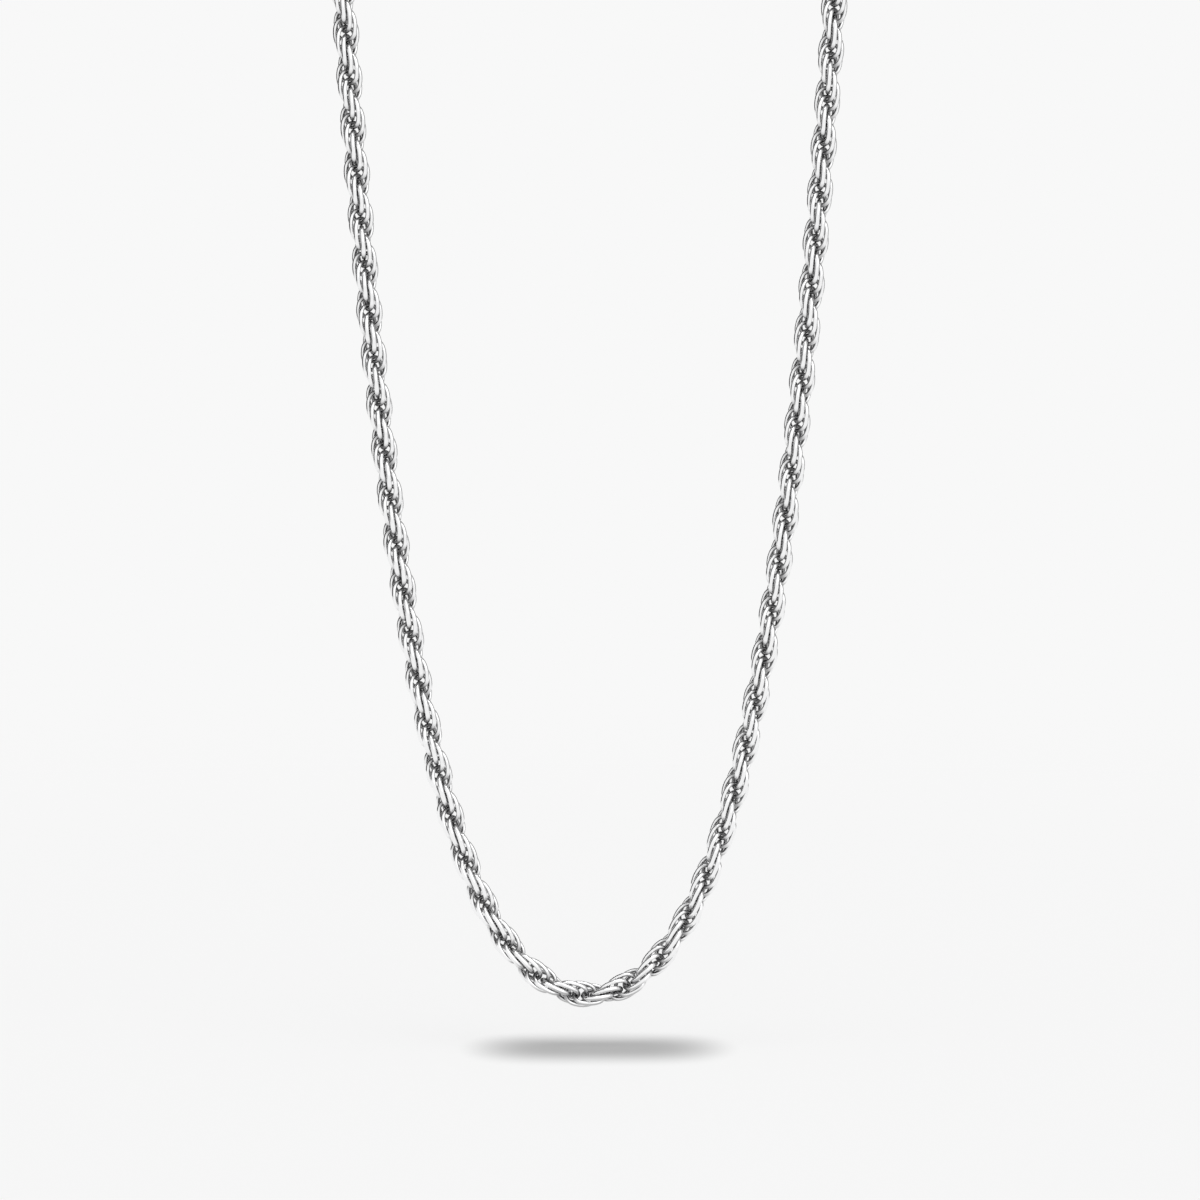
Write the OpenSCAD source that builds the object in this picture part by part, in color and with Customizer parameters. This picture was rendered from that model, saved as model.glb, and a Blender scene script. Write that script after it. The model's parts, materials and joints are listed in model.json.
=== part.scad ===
// Rope-chain necklace with a lobster clasp.
// Every link is its own closed oval. The loop hangs in the XZ plane, seen from -Y, from a round
// neck form. The origin is the centre of that form, and +Z is up.

/* [Necklace] */
// Length of the closed necklace, measured along its middle
necklace_len = 450; // [430:5:480]
// How tightly the free part bends at its lowest point (radius there)
bend_r = 8; // [8:0.5:11]

/* [Rope links] */
// Width of the rope over its widest places
rope_w = 2.83; // [2.7:0.01:3.0]
// Length of rope in which the twist makes half a turn
half_turn_len = 5.16; // [5.0:0.02:5.4]
// Links in each half turn of the twist
links_per_half_turn = 5.36; // [5.34:0.01:5.38]
// Least gap between one link and the next
link_gap = 0.02; // [0.02:0.005:0.05]
// Turn of the lowest link out of the loop's own plane
start_turn = -42; // [-60:1:60]

/* [Rope sections] */
// Links on each side of the middle one that hang as the lowest section
low_links = 28; // [24:1:30]
// Links on each side that lie on the neck form
neck_links = 38; // [36:1:42]

/* [End caps] */
// Clearance between the rope and the cup that takes its end
cup_clear = 0.2; // [0.15:0.01:0.3]
// Wall of the cup
cup_wall = 0.4; // [0.3:0.05:0.6]
// Depth of rope inside the cup
cup_depth = 4.2; // [3.6:0.1:5]
// Thickness of the closed end of the cup
cup_floor = 0.6; // [0.5:0.05:0.9]
// Thickness of the bead round the cup's mouth
bead_d = 0.6; // [0.4:0.05:0.8]
// Gap between the last link and the closed end
seat_gap = 0.05; // [0.05:0.01:0.1]
// Radius of the cap's eye, on the middle of its wire
cap_eye_r = 1.25; // [1.2:0.05:1.5]
// Diameter of the wire of all three eyes
eye_wire_d = 0.9; // [0.8:0.05:0.95]

/* [Jump rings] */
// Radius of a jump ring, on the middle of its wire
ring_r = 1.9; // [1.8:0.05:2.2]
// Diameter of a jump ring's wire
ring_wire_d = 0.8; // [0.7:0.05:0.85]
// Play between two linked rings
ring_gap = 0.03; // [0.03:0.01:0.06]

/* [Clasp] */
// Radius of the clasp's hook, on the middle of its section
hook_r = 2.2; // [2.15:0.05:2.4]
// Diameter of the hook's section
hook_d = 1.3; // [1.2:0.05:1.35]
// Radius of the clasp's round body
body_r = 2.1; // [2.1:0.05:2.2]
// Thickness of the clasp's body
body_t = 2.4; // [2.2:0.1:3]
// Rounding of the body's two rims
body_round = 0.6; // [0.4:0.1:0.8]
// Radius of the clasp's tail eye, on the middle of its wire
tail_eye_r = 1.1; // [1.1:0.05:1.3]
// Diameter of the gate's arm
gate_d = 0.9; // [0.8:0.05:0.95]
// Thickness of the gate where it turns on the rivet
knuckle_t = 0.6; // [0.5:0.05:0.65]
// Radius of the gate where it turns on the rivet
knuckle_r = 0.85; // [0.8:0.05:0.9]
// Diameter of the rivet
rivet_d = 0.6; // [0.5:0.05:0.7]
// Diameter of the rivet's heads
rivet_head_d = 1.0; // [0.9:0.05:1.1]
// Thickness of a rivet head
rivet_head_t = 0.15; // [0.1:0.05:0.2]
// Play of the gate on the rivet, and of its end against the hook
gate_play = 0.06; // [0.05:0.01:0.08]
// Length of the thumb lever, from the rivet's middle
lever_len = 2.5; // [2.2:0.1:2.8]
// Diameter of the thumb lever
lever_d = 0.7; // [0.6:0.05:0.8]
// Diameter of the spring's wire
spring_wire_d = 0.16; // [0.12:0.01:0.18]
// Radius of the spring's turns, on the middle of the wire
spring_r = 0.55; // [0.53:0.01:0.58]

/* [Hidden] */
// Sections between the lowest one and the neck, on each side
SECTIONS = 11;
// Nodes for the neck rope and for the lowest section
NECK_NODES = 3;
$fn = 64;

silver = [0.86, 0.86, 0.87];
cut = 4 * body_r;         // long enough to cut right through the clasp
overlap = 0.15;           // how deep soldered shapes run into each other
hook_overlap = 0.8;       // how deep the hook runs into the body
slot_past = 1.2;          // how far the gate's slot goes past its knuckle
leg_share = 0.8;          // thickness of the spring's legs against its turns

// The screw: each link is the one before, moved on by a pitch and turned by a fixed angle
pitch = half_turn_len / links_per_half_turn;
turn = -180 / links_per_half_turn;

// Links of this screw pass each other when they are 3.53 pitches long and their wire is no
// thicker than 0.4685 of a pitch. Sizes step by 0.002, so that arcs and straights meet exactly.
LINK_PITCHES = 3.53;
WIRE_SHARE = 0.4685;
function stepped(size) = round(size * 500) / 500;
wire_d = stepped(WIRE_SHARE * pitch - link_gap);
link_w = stepped(rope_w - wire_d);
link_len = stepped(LINK_PITCHES * pitch);
half_len = link_len / 2;
half_w = link_w / 2;
straight_len = link_len - link_w;
rope_r = half_w + wire_d / 2;

// The findings lie on one level line over the neck. Positions are along X from the hook's middle.
eye_pull = cap_eye_r + ring_r - eye_wire_d / 2 - ring_wire_d / 2 - ring_gap;
tail_pull = tail_eye_r + ring_r - eye_wire_d / 2 - ring_wire_d / 2 - ring_gap;
body_x = -(hook_r + body_r - hook_overlap);
body_z = -0.1;
tail_x = body_x - body_r - tail_eye_r + overlap;
clasp_ring_x = tail_x - tail_pull;
left_eye_x = clasp_ring_x - eye_pull;
catch_ring_x = hook_r - hook_d / 2 - ring_wire_d / 2 - ring_gap + ring_r;
right_eye_x = catch_ring_x + eye_pull;
eye_x = (right_eye_x - left_eye_x) / 2;
hook_x = eye_x - right_eye_x;
eye_out = cup_floor + cap_eye_r + eye_wire_d / 2 - overlap;

// Links on each side of the middle one, and where the cup's inner end comes along the rope
side_links = floor((necklace_len / 2 - eye_x - eye_out - half_len - wire_d / 2) / pitch);
end_s = side_links * pitch + half_len + wire_d / 2 + seat_gap;

// Free part: a hanging chain's own curve, by the distance s from its lowest point
function free_x(s) = bend_r * ln(s / bend_r + sqrt(1 + pow(s / bend_r, 2)));
function free_z(s) = sqrt(bend_r * bend_r + s * s) - bend_r;
// Neck part: an arc that carries on smoothly from the free part at s = top
function lean(top) = atan(bend_r / top);
function neck_r_at(top) = free_x(top) / cos(lean(top));
function neck_angle(top, s) = (s - top) / neck_r_at(top) * 180 / PI - lean(top);
function cap_eye_x(top) =
    let (a = neck_angle(top, end_s)) neck_r_at(top) * cos(a) - eye_out * sin(a);
// The free length at which the two cap eyes come as far apart as the clasp and rings need
function solve_top(low, high, steps) =
    let (mid = (low + high) / 2)
    steps == 0 ? mid
        : cap_eye_x(mid) > eye_x ? solve_top(low, mid, steps - 1)
        : solve_top(mid, high, steps - 1);
free_len = solve_top(0.6 * end_s, end_s, 40);
neck_r = neck_r_at(free_len);
low_z = -free_z(free_len) - neck_r * sin(lean(free_len));
cap_angle = neck_angle(free_len, end_s);
clasp_z = neck_r * sin(cap_angle) + eye_out * cos(cap_angle);

// Where the rope's middle is at s along the right side, and its slope there
function rope_x(s) = s <= free_len ? free_x(s) : neck_r * cos(neck_angle(free_len, s));
function rope_z(s) = s <= free_len ? low_z + free_z(s) : neck_r * sin(neck_angle(free_len, s));
function rope_tilt(s) =
    s <= free_len ? atan2(bend_r, s) : -neck_angle(free_len, s);

// Sections: the first link of side section i, counted up from the lowest section
span_links = side_links - neck_links - low_links;
function first_link(i) = low_links + 1 + round((i - 1) * span_links / SECTIONS);
function first_neck_link(i) =
    side_links - neck_links + 1 + round((i - 1) * neck_links / NECK_NODES);
middle_links = floor(low_links / 3);

// Clasp details, in the hook's own frame: x along the clasp, z up, hook's middle at the origin
hook_from = -150;
hook_to = 100;
gate_from = 62;
gate_to = 150;
pivot = [-2.6, 0.75];
gate_reach = 3.15;        // the gate's end and the hook's tip are cut round, about the rivet
knuckle_y = -0.2;         // middle of the knuckle across the clasp
slot_half = 0.6;          // half the width of the slot that the gate works in
slot_low = -0.36;
slot_left = -4.75;
lever_angle = 125;
spring_ys = [0.28, 0.42]; // places of the spring's two turns across the clasp
spring_leg = 0.75;
spring_leg_angles = [165, 250];
spring_room_r = 0.78;

// Turns a shape drawn in the XY plane up into the XZ plane
module upright() rotate([90, 0, 0]) children();

module arc(r, from, to, d)
    rotate([0, 0, from]) rotate_extrude(angle = to - from) translate([r, 0]) circle(d = d);

module ring(r, d) rotate_extrude() translate([r, 0]) circle(d = d);

module bar(from, to, d) {
    step = to - from;
    translate([from[0], from[1], 0]) rotate([0, 0, atan2(step[1], step[0])])
        rotate([0, 90, 0]) cylinder(d = d, h = norm(step));
}

// One closed link: two straight stretches of round wire and two half-round ends
module link() upright() union() {
    translate([0, straight_len / 2, 0]) arc(half_w, 0, 180, wire_d);
    translate([0, -straight_len / 2, 0]) arc(half_w, 180, 360, wire_d);
    for (side = [-1, 1]) translate([side * half_w, 0, 0]) rotate([90, 0, 0])
        cylinder(d = wire_d, h = straight_len, center = true);
}

// Link k of the rope: 0 is the lowest, and k below 0 is on the left side
module placed_link(k) {
    s = abs(k) * pitch;
    side = k < 0 ? -1 : 1;
    translate([side * rope_x(s), 0, rope_z(s)])
        rotate([0, side * rope_tilt(s), 0]) rotate([0, 0, abs(k) * turn + side * start_turn]) link();
}

module links(from, to) color(silver) for (k = [from:to]) placed_link(k);

module rope_section(i, side)
    links(side < 0 ? 1 - first_link(i + 1) : first_link(i),
          side < 0 ? -first_link(i) : first_link(i + 1) - 1);

module neck_rope(i, side)
    links(side < 0 ? 1 - first_neck_link(i + 1) : first_neck_link(i),
          side < 0 ? -first_neck_link(i) : first_neck_link(i + 1) - 1);

// A cup over the end of the rope, round at its closed end and with a bead round its mouth
module end_cap(side) {
    inner_r = rope_r + cup_clear;
    outer_r = inner_r + cup_wall;
    rounding = min(cup_floor, cup_wall + cup_clear);
    color(silver)
        translate([side * neck_r * cos(cap_angle), 0, neck_r * sin(cap_angle)])
        rotate([0, -side * cap_angle, 0]) {
            difference() {
                union() {
                    translate([0, 0, -cup_depth]) {
                        cylinder(r = outer_r, h = cup_depth + cup_floor - rounding);
                        cylinder(r = outer_r - rounding, h = cup_depth + cup_floor);
                        translate([0, 0, bead_d / 3]) ring(outer_r, bead_d);
                    }
                    translate([0, 0, cup_floor - rounding]) ring(outer_r - rounding, 2 * rounding);
                }
                translate([0, 0, -cup_depth - overlap])
                    cylinder(r = inner_r, h = cup_depth + overlap);
            }
            translate([0, 0, eye_out]) upright() ring(cap_eye_r, eye_wire_d);
        }
}

module at_clasp() translate([hook_x, 0, clasp_z]) children();

module clasp_ring() color(silver) at_clasp() translate([clasp_ring_x, 0, 0])
    ring(ring_r, ring_wire_d);

module catch_ring() color(silver) at_clasp() translate([catch_ring_x, 0, 0])
    ring(ring_r, ring_wire_d);

// A round body with rounded rims, its outline turned about Y
module barrel() translate([body_x, body_z, 0]) union() {
    cylinder(r = body_r - body_round, h = body_t, center = true);
    cylinder(r = body_r, h = body_t - 2 * body_round, center = true);
    for (face = [-1, 1]) translate([0, 0, face * (body_t / 2 - body_round)])
        ring(body_r - body_round, 2 * body_round);
}

module clasp_body() color(silver) at_clasp() upright() difference() {
    union() {
        barrel();
        difference() {
            arc(hook_r, hook_from, hook_to, hook_d);
            translate([pivot[0], pivot[1], 0])
                cylinder(r = gate_reach + gate_play, h = cut, center = true, $fn = 128);
        }
        // the lower half of the hook, which the round cut would reach
        arc(hook_r, hook_from, 0, hook_d);
        translate([tail_x, 0, 0]) ring(tail_eye_r, eye_wire_d);
    }
    translate([slot_left, slot_low, -slot_half])
        cube([-slot_left + pivot[0] + knuckle_r + slot_past, cut, 2 * slot_half]);
    translate([pivot[0], pivot[1], 0]) cylinder(d = rivet_d, h = cut, center = true);
}

module clasp_gate() color(silver) at_clasp() upright() difference() {
    union() {
        intersection() {
            arc(hook_r, gate_from, gate_to, gate_d);
            translate([pivot[0], pivot[1], 0])
                cylinder(r = gate_reach, h = cut, center = true, $fn = 128);
        }
        translate([pivot[0], pivot[1], -knuckle_y])
            cylinder(r = knuckle_r, h = knuckle_t, center = true);
        translate([0, 0, -knuckle_y])
            bar(pivot, pivot + lever_len * [cos(lever_angle), sin(lever_angle)], lever_d);
    }
    translate([pivot[0], pivot[1], 0])
        cylinder(d = rivet_d + 2 * gate_play, h = cut, center = true);
    // room for the spring beside the knuckle
    translate([pivot[0], pivot[1], -cut - knuckle_y - knuckle_t / 2])
        cylinder(r = spring_room_r, h = cut);
}

module clasp_spring() color(silver) at_clasp() upright()
    translate([pivot[0], pivot[1], 0]) {
        for (y = spring_ys) translate([0, 0, -y]) ring(spring_r, spring_wire_d);
        for (i = [0, 1]) translate([0, 0, -spring_ys[i]])
            let (a = spring_leg_angles[i])
            bar(spring_r * [cos(a), sin(a)], spring_leg * [cos(a), sin(a)],
                spring_wire_d * leg_share);
    }

module clasp_rivet() color(silver) at_clasp() upright()
    translate([pivot[0], pivot[1], 0]) {
        cylinder(d = rivet_d, h = body_t + rivet_head_t, center = true);
        for (face = [-1, 1]) translate([0, 0, face * (body_t + rivet_head_t) / 2])
            cylinder(d = rivet_head_d, h = rivet_head_t, center = true);
    }

links(-low_links, -middle_links - 1);  // rope_bottom_left
links(-middle_links, middle_links);  // rope_bottom_middle
links(middle_links + 1, low_links);  // rope_bottom_right
for (i = [1:SECTIONS]) {
    rope_section(i, -1);
    rope_section(i, 1);
}
for (i = [1:NECK_NODES]) {
    neck_rope(i, -1);
    neck_rope(i, 1);
}
end_cap(-1);  // end_cap_left
end_cap(1);  // end_cap_right
clasp_ring();
catch_ring();
clasp_body();
clasp_gate();
clasp_spring();
clasp_rivet();
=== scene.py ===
"""Rope-chain necklace: dressed pieces, finishes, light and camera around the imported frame."""

import json
import logging
import math
from dataclasses import dataclass, field
from enum import Enum

import bmesh
import bpy
from mathutils import Matrix, Vector

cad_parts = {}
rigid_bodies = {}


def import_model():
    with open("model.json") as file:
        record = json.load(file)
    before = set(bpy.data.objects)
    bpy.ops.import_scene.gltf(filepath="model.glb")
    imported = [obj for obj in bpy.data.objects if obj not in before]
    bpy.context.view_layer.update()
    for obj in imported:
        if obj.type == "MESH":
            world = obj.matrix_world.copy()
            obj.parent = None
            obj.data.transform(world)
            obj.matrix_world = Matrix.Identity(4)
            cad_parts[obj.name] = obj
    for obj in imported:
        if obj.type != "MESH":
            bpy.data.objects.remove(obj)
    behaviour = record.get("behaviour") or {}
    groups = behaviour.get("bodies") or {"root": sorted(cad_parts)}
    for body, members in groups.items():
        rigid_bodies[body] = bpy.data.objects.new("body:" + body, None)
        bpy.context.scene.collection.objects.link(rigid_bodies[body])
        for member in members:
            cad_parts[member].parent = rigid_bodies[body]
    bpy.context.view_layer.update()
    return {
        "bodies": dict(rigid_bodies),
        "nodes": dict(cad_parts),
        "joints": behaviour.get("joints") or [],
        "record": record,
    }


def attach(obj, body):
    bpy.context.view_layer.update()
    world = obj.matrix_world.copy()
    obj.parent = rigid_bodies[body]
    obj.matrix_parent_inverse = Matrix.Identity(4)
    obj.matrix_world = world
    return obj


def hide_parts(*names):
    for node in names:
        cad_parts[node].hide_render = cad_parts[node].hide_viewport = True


log = logging.getLogger("necklace")
MM = 0.001
LINKS_A_SIDE = 221
CAST_SILVER = (0.80, 0.80, 0.81, 1.0)
CAST_SMOOTH = 0.12


class Side(Enum):
    """The side of the loop that a piece of rope hangs on."""

    LEFT = -1
    RIGHT = 1


# ---------------------------------------------------------------- shader helpers


class Value:
    """A shader socket that Python expressions can work on."""

    def __init__(self, finish: "NodeSheet", socket: bpy.types.NodeSocket):
        """Wrap a socket of a node sheet."""
        self.finish = finish
        self.socket = socket

    def _math(self, operation: str, first: object, second: object) -> "Value":
        """Add one Math node.

        Args:
            operation: the Math node's operation.
            first: its first value or socket.
            second: its second value or socket.

        Returns:
            The node's result.
        """
        made = self.finish.node(
            "ShaderNodeMath", {"operation": operation}, {0: first, 1: second}
        )
        return Value(self.finish, made.outputs[0])

    def __add__(self, other: object) -> "Value":
        """Add."""
        return self._math("ADD", self, other)

    def __radd__(self, other: object) -> "Value":
        """Add, reflected."""
        return self._math("ADD", other, self)

    def __sub__(self, other: object) -> "Value":
        """Subtract."""
        return self._math("SUBTRACT", self, other)

    def __rsub__(self, other: object) -> "Value":
        """Subtract, reflected."""
        return self._math("SUBTRACT", other, self)

    def __mul__(self, other: object) -> "Value":
        """Multiply."""
        return self._math("MULTIPLY", self, other)

    def __pow__(self, other: object) -> "Value":
        """Raise to a power."""
        return self._math("POWER", self, other)

    def ramp(self, low: float, high: float) -> "Value":
        """Rise smoothly from 0 at low to 1 at high.

        Args:
            low: where the result is still 0.
            high: where the result reaches 1.

        Returns:
            The eased value.
        """
        made = self.finish.node(
            "ShaderNodeMapRange",
            {"interpolation_type": "SMOOTHSTEP"},
            {"Value": self, "From Min": low, "From Max": high},
        )
        return Value(self.finish, made.outputs[0])


class NodeSheet:
    """The nodes of one material or world."""

    def __init__(self, tree: bpy.types.NodeTree):
        """Start with an empty tree."""
        self.tree = tree
        tree.nodes.clear()

    def node(self, kind: str, settings: dict, inputs: dict) -> bpy.types.Node:
        """Add a node.

        Args:
            kind: the node's type.
            settings: its settings.
            inputs: a value, a Value or a socket for each named or numbered input.

        Returns:
            The node.
        """
        made = self.tree.nodes.new(kind)
        for name, setting in settings.items():
            setattr(made, name, setting)
        for name, given in inputs.items():
            given = given.socket if isinstance(given, Value) else given
            if isinstance(given, bpy.types.NodeSocket):
                self.tree.links.new(given, made.inputs[name])
            else:
                made.inputs[name].default_value = given
        return made

    def coordinates(self) -> bpy.types.NodeSocket:
        """Return the object's own coordinates, in metres."""
        return self.node("ShaderNodeTexCoord", {}, {}).outputs["Object"]

    def noise(self, size: float, detail: float = 3.0) -> Value:
        """Return a noise whose spots are about size metres across."""
        made = self.node(
            "ShaderNodeTexNoise",
            {},
            {"Vector": self.coordinates(), "Scale": 1.0 / size, "Detail": detail},
        )
        return Value(self, made.outputs["Fac"])

    def attribute(self, name: str) -> Value:
        """Return a value that the mesh carries at its points."""
        made = self.node("ShaderNodeAttribute", {"attribute_name": name}, {})
        return Value(self, made.outputs["Fac"])

    def blend(self, share: object, first: tuple, second: tuple) -> bpy.types.NodeSocket:
        """Mix two colours.

        Args:
            share: how much of the second colour shows.
            first: the first colour.
            second: the second colour.

        Returns:
            The mixed colour's socket.
        """
        made = self.node(
            "ShaderNodeMix", {"data_type": "RGBA"}, {0: share, 6: first, 7: second}
        )
        return made.outputs[2]


@dataclass(frozen=True)
class PolishedSilver:
    """Polished silver wire and castings, with painted shade in the crevices."""

    name: str
    bright: tuple = (0.96, 0.96, 0.963, 1.0)
    # the dark colour of the painted crevice shade, and of the handling wear
    deep: tuple = (0.24, 0.24, 0.243, 1.0)
    smooth: float = 0.07
    worn: float = 0.10
    hidden_rough: float = 0.25
    # how far the painted crevice shade darkens the colour
    crevice_shade_share: float = 0.97
    handled_share: float = 0.03
    handled_from: float = 0.4
    handled_to: float = 0.75
    handling_spot: float = 1.3 * MM
    polish_line: float = 0.05 * MM
    polish_detail: float = 2.0
    polish_depth: float = 0.0015 * MM
    polish_strength: float = 0.25
    # whether the painted crevice shade is used
    has_crevice_shade: bool = True

    def material(self) -> bpy.types.Material:
        """Build the material.

        Returns:
            The material, with its nodes.
        """
        made = bpy.data.materials.new(self.name)
        made.use_nodes = True
        sheet = NodeSheet(made.node_tree)
        handled = sheet.noise(self.handling_spot).ramp(self.handled_from, self.handled_to)
        lines = sheet.noise(self.polish_line, self.polish_detail)
        # painted shade: the crevice value darkens the colour inside the rope, where shade falls
        # between the wires; a little handling wear adds to it
        painted_crevice_shade = sheet.attribute("crevice_shade") if self.has_crevice_shade else handled * 0.0
        shade_and_wear = painted_crevice_shade * self.crevice_shade_share + handled * self.handled_share
        colour = sheet.blend(shade_and_wear, self.bright, self.deep)
        bump = sheet.node(
            "ShaderNodeBump",
            {},
            {
                "Strength": self.polish_strength,
                "Distance": self.polish_depth,
                "Height": lines,
            },
        )
        surface = sheet.node(
            "ShaderNodeBsdfPrincipled",
            {},
            {
                "Base Color": colour,
                "Metallic": 1.0,
                "Roughness": self.smooth + handled * self.worn + painted_crevice_shade * self.hidden_rough,
                "Normal": bump.outputs[0],
            },
        )
        sheet.node("ShaderNodeOutputMaterial", {}, {"Surface": surface.outputs[0]})
        return made


def stand(name: str, mesh: bmesh.types.BMesh) -> bpy.types.Object:
    """Turn a bmesh into an object in the scene, and free it.

    Args:
        name: the name of the object and its mesh.
        mesh: the shape.

    Returns:
        The object.
    """
    data = bpy.data.meshes.new(name)
    mesh.to_mesh(data)
    mesh.free()
    made = bpy.data.objects.new(name, data)
    bpy.context.scene.collection.objects.link(made)
    return made


# ---------------------------------------------------------------- the rope


@dataclass
class Route:
    """The loop's middle line: a hanging curve below, a round arc over the neck form."""

    low_z: float
    links_a_side: int
    link_half_len: float
    bend_r: float = 8.0 * MM
    pitch: float = 5.16 * MM / 5.36
    turn: float = -math.pi / 5.36
    start_turn: float = math.radians(-42.0)
    solid_wire_r: float = 0.216 * MM
    seat_gap: float = 0.05 * MM
    eye_x: float = 8.115 * MM
    eye_out: float = 2.15 * MM
    end_s: float = field(init=False, default=0.0)
    free_len: float = field(init=False, default=0.0)
    neck_r: float = field(init=False, default=0.0)

    def __post_init__(self) -> None:
        """Find the rope's end, and where the hanging curve runs into the arc."""
        last_link_end = self.links_a_side * self.pitch + self.link_half_len
        self.end_s = last_link_end + self.solid_wire_r + self.seat_gap
        low, high = 0.6 * self.end_s, self.end_s
        for _ in range(50):
            self.free_len = (low + high) / 2
            self.neck_r = self._neck_r()
            if self._cap_eye_x() > self.eye_x:
                high = self.free_len
            else:
                low = self.free_len

    def _free(self, s: float) -> tuple[float, float]:
        """Return x and the height above the lowest point at s."""
        rise = math.hypot(self.bend_r, s) - self.bend_r
        return self.bend_r * math.asinh(s / self.bend_r), rise

    def _lean(self) -> float:
        """Return how far the strand leans out from the vertical at the arc's start."""
        return math.atan(self.bend_r / self.free_len)

    def _neck_r(self) -> float:
        """Return the radius of the arc over the neck form."""
        return self._free(self.free_len)[0] / math.cos(self._lean())

    def neck_angle(self, s: float) -> float:
        """Return the angle on the arc at s, up from the +X axis."""
        return (s - self.free_len) / self.neck_r - self._lean()

    def _cap_eye_x(self) -> float:
        """Return how far the end cap's eye is from the middle."""
        angle = self.neck_angle(self.end_s)
        return self.neck_r * math.cos(angle) - self.eye_out * math.sin(angle)

    def place(self, s: float, side: Side) -> Matrix:
        """Return the place of a piece at s, its Z along the rope, away from the low point.

        Args:
            s: the distance from the lowest point, along the rope.
            side: the side of the loop.

        Returns:
            The matrix that carries the piece there.
        """
        if s <= self.free_len:
            x, rise = self._free(s)
            z = self.low_z + rise
            tilt = math.atan2(self.bend_r, s)
        else:
            angle = self.neck_angle(s)
            x, z = self.neck_r * math.cos(angle), self.neck_r * math.sin(angle)
            tilt = -angle
        turned = Matrix.Rotation(side.value * tilt, 4, "Y")
        return Matrix.Translation((side.value * x, 0.0, z)) @ turned

    def link_place(self, number: int) -> Matrix:
        """Return the place of a link, counted from the lowest one, negative on the left."""
        side = Side.LEFT if number < 0 else Side.RIGHT
        turned = abs(number) * self.turn + side.value * self.start_turn
        return self.place(abs(number) * self.pitch, side) @ Matrix.Rotation(turned, 4, "Z")


@dataclass
class Link:
    """One closed oval link of wire that is pressed a little wider than it is deep."""

    half_w: float = 1.235 * MM
    straight: float = 0.928 * MM
    wire_r: float = 0.243 * MM
    pressed: float = 1.1
    steps: int = 12
    sides: int = 4
    # a smoothed square or twelve-sided cage settles inside its corners by these shares
    wire_settle: float = 0.657
    loop_settle: float = 0.955

    @property
    def half_len(self) -> float:
        """Return half the link's length along the middle of its wire."""
        return self.half_w + self.straight / 2

    def cage(self) -> bmesh.types.BMesh:
        """Spin the wire's section round the link and pull the two ends apart.

        Returns:
            The link's cage, standing along Z with its width along X.
        """
        mesh = bmesh.new()
        bmesh.ops.create_circle(
            mesh, segments=self.sides, radius=self.wire_r / self.wire_settle
        )
        bmesh.ops.scale(mesh, vec=(1.0, self.pressed, 1.0), verts=mesh.verts)
        out = Matrix.Translation((self.half_w / self.loop_settle, 0.0, 0.0))
        bmesh.ops.transform(mesh, matrix=out, verts=mesh.verts)
        bmesh.ops.spin(
            mesh,
            geom=mesh.verts[:] + mesh.edges[:],
            cent=(0.0, 0.0, 0.0),
            axis=(0.0, 1.0, 0.0),
            angle=2 * math.pi,
            steps=self.steps,
            use_merge=True,
        )
        for way in (-1, 1):
            ends = [v for v in mesh.verts if way * self._height(v) > self.wire_r]
            bmesh.ops.translate(mesh, verts=ends, vec=(0.0, 0.0, way * self.straight / 2))
        bmesh.ops.recalc_face_normals(mesh, faces=mesh.faces)
        return mesh

    def _height(self, vert: bmesh.types.BMVert) -> float:
        """Return how high the middle of the wire is at a corner of the cage."""
        flat = math.hypot(vert.co.x, vert.co.z)
        return vert.co.z * self.half_w / flat


class Piece:
    """Turns a bmesh into a piece that rides on a body."""

    def __init__(self, name: str, body: str, slot: str, replaces: tuple[str, ...]):
        """Keep what the piece stands for."""
        self.name = name
        self.body = body
        self.slot = slot
        self.replaces = replaces

    def finish(
        self, mesh: bmesh.types.BMesh, material: bpy.types.Material, levels: int
    ) -> bpy.types.Object:
        """Make the object, dress it and hang it on its body.

        Args:
            mesh: the piece's mesh, which is freed.
            material: its finish.
            levels: how often its surface is smoothed.

        Returns:
            The object.
        """
        made = stand(self.name, mesh)
        made.data.materials.append(material)
        made.data.shade_smooth()
        smooth = made.modifiers.new("smooth", "SUBSURF")
        smooth.levels = levels
        smooth.render_levels = levels
        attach(made, self.body)
        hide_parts(*self.replaces)
        log.info("%s: %d faces", self.name, len(made.data.polygons))
        return made


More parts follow.
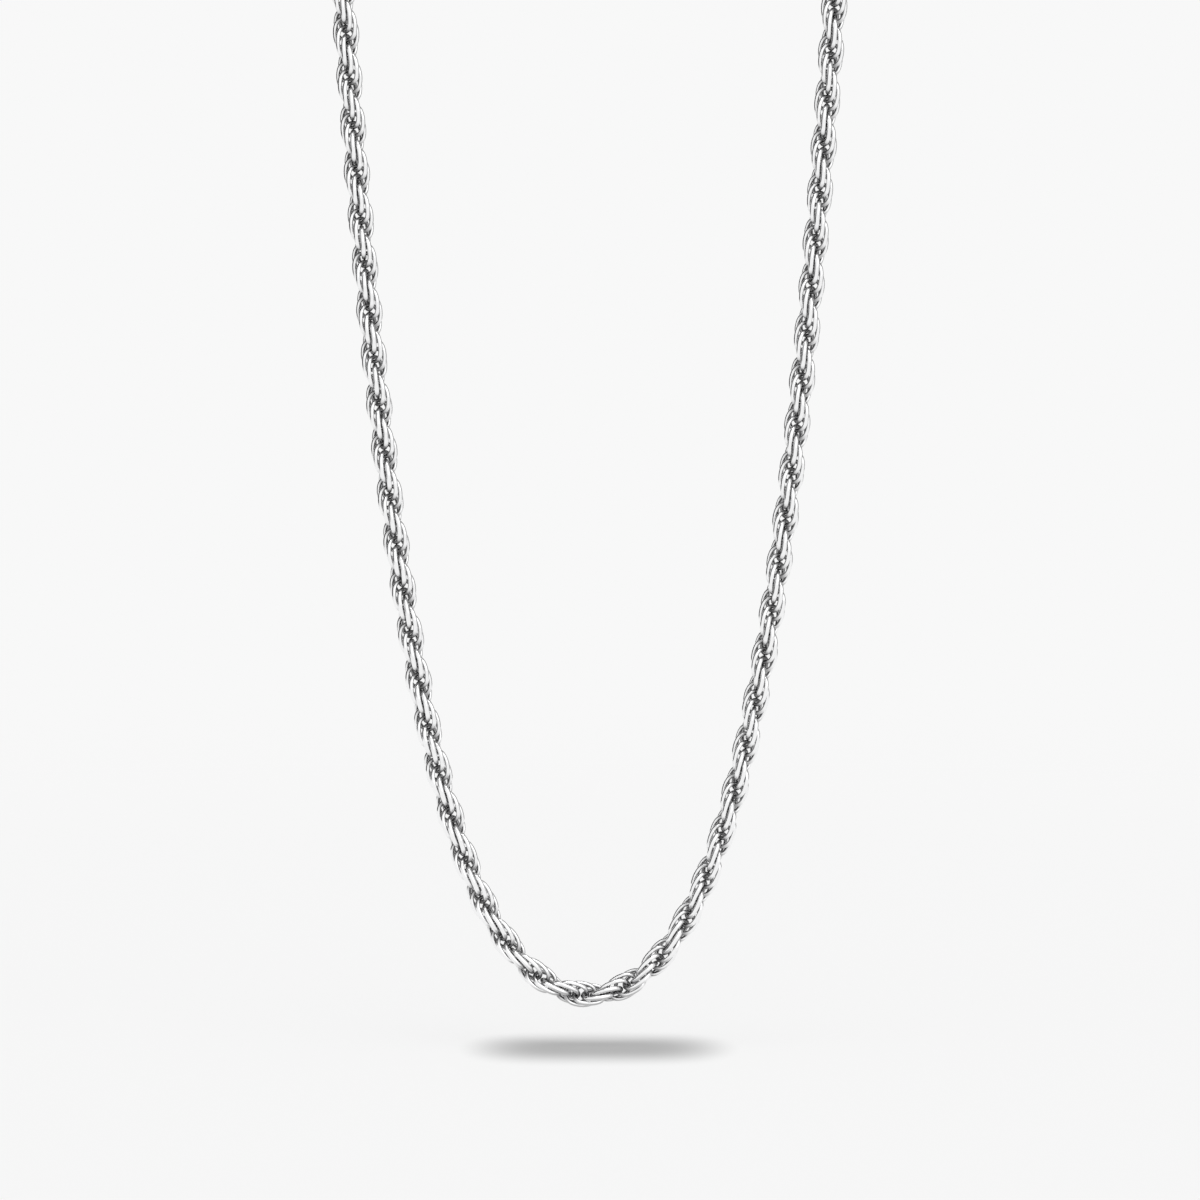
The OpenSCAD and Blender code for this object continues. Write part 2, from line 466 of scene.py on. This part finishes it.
@dataclass
class Rope:
    """The interlinked links, in the sections that the frame holds."""

    route: Route
    link: Link
    low_links: int = 28
    neck_links: int = 38
    sections: int = 11
    neck_pieces: int = 3
    # from this share of the rope's radius inwards, the wire is in shade and darkened
    shade_from: float = 0.8
    shade_to: float = 0.45
    smooth_levels: int = 2

    def _first(self, section: int) -> int:
        """Return the number of the first link of a side section."""
        span = self.route.links_a_side - self.neck_links - self.low_links
        return self.low_links + 1 + round((section - 1) * span / self.sections)

    def _first_neck(self, part: int) -> int:
        """Return the number of the first link of a part of the neck rope."""
        start = self.route.links_a_side - self.neck_links
        return start + 1 + round((part - 1) * self.neck_links / self.neck_pieces)

    def spans(self) -> dict[str, tuple[str, int, int]]:
        """Return each node's body and its first and last link on the right-hand count."""
        third = self.low_links // 3
        found = {
            "rope_bottom_left": ("bottom", -self.low_links, -third - 1),
            "rope_bottom_middle": ("bottom", -third, third),
            "rope_bottom_right": ("bottom", third + 1, self.low_links),
        }
        for number in range(1, self.sections + 1):
            first, last = self._first(number), self._first(number + 1) - 1
            found[f"rope_right_{number}"] = (f"section_{number}", first, last)
            found[f"rope_left_{number}"] = (f"section_{number}", -last, -first)
        for number in range(1, self.neck_pieces + 1):
            first, last = self._first_neck(number), self._first_neck(number + 1) - 1
            found[f"neck_rope_right_{number}"] = ("neck", first, last)
            found[f"neck_rope_left_{number}"] = ("neck", -last, -first)
        return found

    def _crevice_shade(self, vert: bmesh.types.BMVert, inverse: Matrix) -> float:
        """Return how much painted shade a corner gets by how far inside the rope it lies, from
        0 at the outside to 1.
        """
        local = inverse @ vert.co
        share = math.hypot(local.x, local.y) / (self.link.half_w + self.link.wire_r)
        depth = (self.shade_from - share) / (self.shade_from - self.shade_to)
        return min(max(depth, 0.0), 1.0)

    def build(self, material: bpy.types.Material) -> None:
        """Make one piece of links for each rope node.

        Args:
            material: the links' finish.
        """
        cage = self.link.cage()
        one = bpy.data.meshes.new("one_link")
        cage.to_mesh(one)
        cage.free()
        for node, (body, first, last) in self.spans().items():
            mesh = bmesh.new()
            # each corner keeps the strength of its painted shade in this layer
            crevice_shade = mesh.verts.layers.float.new("crevice_shade")
            for number in range(first, last + 1):
                place = self.route.link_place(number)
                inverse = place.inverted()
                before = len(mesh.verts)
                mesh.from_mesh(one)
                mesh.verts.ensure_lookup_table()
                added = mesh.verts[before:]
                bmesh.ops.transform(mesh, matrix=place, verts=added)
                for vert in added:
                    vert[crevice_shade] = self._crevice_shade(vert, inverse)
            piece = Piece(f"{node}_links", body, "polished_silver", (node,))
            piece.finish(mesh, material, self.smooth_levels)
        bpy.data.meshes.remove(one)


# ---------------------------------------------------------------- the findings


@dataclass
class Findings:
    """End caps, jump rings and the lobster clasp, whose cast shapes the frame holds."""

    nodes: tuple[str, ...] = (
        "end_cap_left",
        "end_cap_right",
        "clasp_ring",
        "catch_ring",
        "clasp_body",
        "clasp_gate",
        "clasp_spring",
        "clasp_rivet",
    )

    def dress(self, frame: dict, material: bpy.types.Material) -> None:
        """Give each cast piece its polish.

        Args:
            frame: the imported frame.
            material: the findings' finish.
        """
        for node in self.nodes:
            data = frame["nodes"][node].data
            data.materials.clear()
            data.materials.append(material)
            log.info("%s: polished", node)


# ---------------------------------------------------------------- the setting


@dataclass(frozen=True)
class Lamp:
    """A broad soft lamp, tilted from overhead towards the front, then turned to the right."""

    name: str
    energy: float
    spread: float
    forward: float
    right: float


@dataclass
class Studio:
    """Pale floor and surroundings, a dark flag round the object, lamps and the camera."""

    low_z: float
    level: float = 0.9387
    fill: float = 0.66
    floor_drop: float = 5.68 * MM
    floor_r: float = 0.5
    floor_sides: int = 96
    fade_from: float = 0.3
    fade_to: float = 0.98
    shade_half: Vector = field(default_factory=lambda: Vector((16.1, 15.2)) * MM)
    shade_centre: Vector = field(default_factory=lambda: Vector((1.0, -2.8)) * MM)
    shade_core: float = 0.1
    shade_deep: float = 0.49
    backdrop_share: float = 0.6
    frame_width: float = 133.33 * MM
    lens: float = 200.0
    sensor: float = 36.0
    elevation: float = math.radians(4.0)
    centre_right: float = 1.2 * MM
    centre_up: float = 44.12 * MM
    flag_r: float = 0.6
    flag_from: float = math.radians(78.0)
    flag_to: float = math.radians(140.0)
    flag_turn: float = math.radians(14.0)
    flag_up: float = -0.07
    flag_steps: int = 48
    flag_dark_to: float = -0.3
    flag_pale_from: float = 0.6
    flag_dark: float = 0.01
    flag_pale: float = 0.45
    lamps: tuple[Lamp, ...] = (
        Lamp("overhead", 0.8, math.radians(35.0), math.radians(12.0), 0.0),
        Lamp("front", 0.4, math.radians(50.0), math.radians(62.0), math.radians(32.0)),
    )

    def camera(self) -> None:
        """Place the camera in front, a little above the level."""
        data = bpy.data.cameras.new("camera")
        data.lens = self.lens
        data.sensor_width = self.sensor
        data.clip_start = 0.01
        data.clip_end = 100.0
        made = bpy.data.objects.new("camera", data)
        bpy.context.scene.collection.objects.link(made)
        distance = self.frame_width * self.lens / self.sensor
        target = Vector((self.centre_right, 0.0, self.low_z + self.centre_up))
        away = Vector((0.0, -math.cos(self.elevation), math.sin(self.elevation)))
        made.location = target + away * distance
        made.rotation_euler = (math.pi / 2 - self.elevation, 0.0, 0.0)
        bpy.context.scene.camera = made

    def world(self) -> None:
        """Surround the object with the pale background, which gives the fill light too."""
        made = bpy.data.worlds.new("studio")
        bpy.context.scene.world = made
        made.use_nodes = True
        sheet = NodeSheet(made.node_tree)
        rays = sheet.node("ShaderNodeLightPath", {}, {})
        camera = Value(sheet, rays.outputs["Is Camera Ray"])
        glossy = Value(sheet, rays.outputs["Is Glossy Ray"])
        through = Value(sheet, rays.outputs["Is Transmission Ray"])
        seen = (camera + glossy + through).ramp(0.0, 1.0)
        light = sheet.node(
            "ShaderNodeBackground",
            {},
            {
                "Color": sheet.blend(
                    seen, (self.fill,) * 3 + (1.0,), (self.level,) * 3 + (1.0,)
                )
            },
        )
        sheet.node("ShaderNodeOutputWorld", {}, {"Surface": light.outputs[0]})

    def light(self) -> None:
        """Hang the lamps."""
        for lamp in self.lamps:
            data = bpy.data.lights.new(lamp.name, "SUN")
            data.energy = lamp.energy
            data.angle = lamp.spread
            made = bpy.data.objects.new(lamp.name, data)
            made.rotation_euler = (lamp.forward, 0.0, lamp.right)
            bpy.context.scene.collection.objects.link(made)

    def flag(self) -> None:
        """Set a band round the object, dark on its left, which only polished metal shows."""
        mesh = bmesh.new()
        for angle in (self.flag_from, self.flag_to):
            at = (self.flag_r * math.sin(angle), -self.flag_r * math.cos(angle), 0.0)
            mesh.verts.new(at)
        mesh.edges.new(mesh.verts)
        bmesh.ops.spin(
            mesh,
            geom=mesh.verts[:] + mesh.edges[:],
            cent=(0.0, 0.0, 0.0),
            axis=(0.0, 1.0, 0.0),
            angle=2 * math.pi,
            steps=self.flag_steps,
            use_merge=True,
        )
        turned = Matrix.Rotation(self.flag_turn, 4, "Z")
        place = Matrix.Translation((0.0, 0.0, self.flag_up)) @ turned
        bmesh.ops.transform(mesh, matrix=place, verts=mesh.verts)
        made = stand("dark_flag", mesh)
        made.data.shade_smooth()
        for ray in ("camera", "diffuse", "shadow", "transmission"):
            setattr(made, f"visible_{ray}", False)
        finish = bpy.data.materials.new("dark_cloth")
        finish.use_nodes = True
        sheet = NodeSheet(finish.node_tree)
        split = sheet.node("ShaderNodeSeparateXYZ", {}, {0: sheet.coordinates()})
        right = Value(sheet, split.outputs["X"]).ramp(
            self.flag_r * self.flag_dark_to, self.flag_r * self.flag_pale_from
        )
        dark, pale = ((grey,) * 3 + (1.0,) for grey in (self.flag_dark, self.flag_pale))
        colour = sheet.blend(right, dark, pale)
        cloth = sheet.node("ShaderNodeBsdfDiffuse", {}, {"Color": colour})
        sheet.node("ShaderNodeOutputMaterial", {}, {"Surface": cloth.outputs[0]})
        made.data.materials.append(finish)

    def floor(self) -> None:
        """Lay a round pale floor whose edge fades, with the soft shade under the loop."""
        mesh = bmesh.new()
        bmesh.ops.create_circle(
            mesh, cap_ends=True, segments=self.floor_sides, radius=self.floor_r
        )
        low = Matrix.Translation((0.0, 0.0, self.low_z - self.floor_drop))
        bmesh.ops.transform(mesh, matrix=low, verts=mesh.verts)
        made = stand("floor", mesh)
        made.data.materials.append(self._floor_finish())

    def _floor_finish(self) -> bpy.types.Material:
        """Build the floor's finish.

        Returns:
            A pale material with a soft oval shade in the middle and a faded edge.
        """
        made = bpy.data.materials.new("pale_floor")
        made.use_nodes = True
        sheet = NodeSheet(made.node_tree)
        split = sheet.node("ShaderNodeSeparateXYZ", {}, {0: sheet.coordinates()})
        x = Value(sheet, split.outputs["X"])
        y = Value(sheet, split.outputs["Y"])
        reach = (x**2.0 + y**2.0) ** 0.5
        across = (x - self.shade_centre.x) * (1.0 / self.shade_half.x)
        back = (y - self.shade_centre.y) * (1.0 / self.shade_half.y)
        oval = (across**2.0) ** 2.0 + back**2.0
        shade = 1.0 - (oval**0.5).ramp(self.shade_core, 1.0)
        dark = (self.level * (1 - self.shade_deep),) * 3 + (1.0,)
        colour = sheet.blend(shade, (self.level,) * 3 + (1.0,), dark)
        matt = sheet.node("ShaderNodeBsdfDiffuse", {}, {"Color": colour})
        plain = sheet.node("ShaderNodeEmission", {}, {"Color": colour})
        clear = sheet.node("ShaderNodeBsdfTransparent", {}, {})
        lit = sheet.node(
            "ShaderNodeMixShader",
            {},
            {0: self.backdrop_share, 1: matt.outputs[0], 2: plain.outputs[0]},
        )
        edge = reach.ramp(self.floor_r * self.fade_from, self.floor_r * self.fade_to)
        both = sheet.node(
            "ShaderNodeMixShader", {}, {0: edge, 1: lit.outputs[0], 2: clear.outputs[0]}
        )
        sheet.node("ShaderNodeOutputMaterial", {}, {"Surface": both.outputs[0]})
        return made


def main() -> None:
    """Build the scene around the frame."""
    logging.basicConfig(level=logging.INFO, format="%(message)s")
    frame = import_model()
    route_low = next(
        m["pos_m"][2] for m in frame["record"]["mounts"] if m["name"] == "pendant_seat"
    )
    bpy.context.scene.view_settings.view_transform = "Standard"
    studio = Studio(low_z=route_low)
    studio.camera()
    studio.world()
    studio.light()
    studio.flag()
    studio.floor()
    link = Link()
    route = Route(low_z=route_low, links_a_side=LINKS_A_SIDE, link_half_len=link.half_len)
    Rope(route=route, link=link).build(PolishedSilver("polished_silver_wire").material())
    cast = PolishedSilver(
        "polished_silver_cast", bright=CAST_SILVER, smooth=CAST_SMOOTH, has_crevice_shade=False
    )
    Findings().dress(frame, cast.material())


if __name__ == "__main__":
    main()
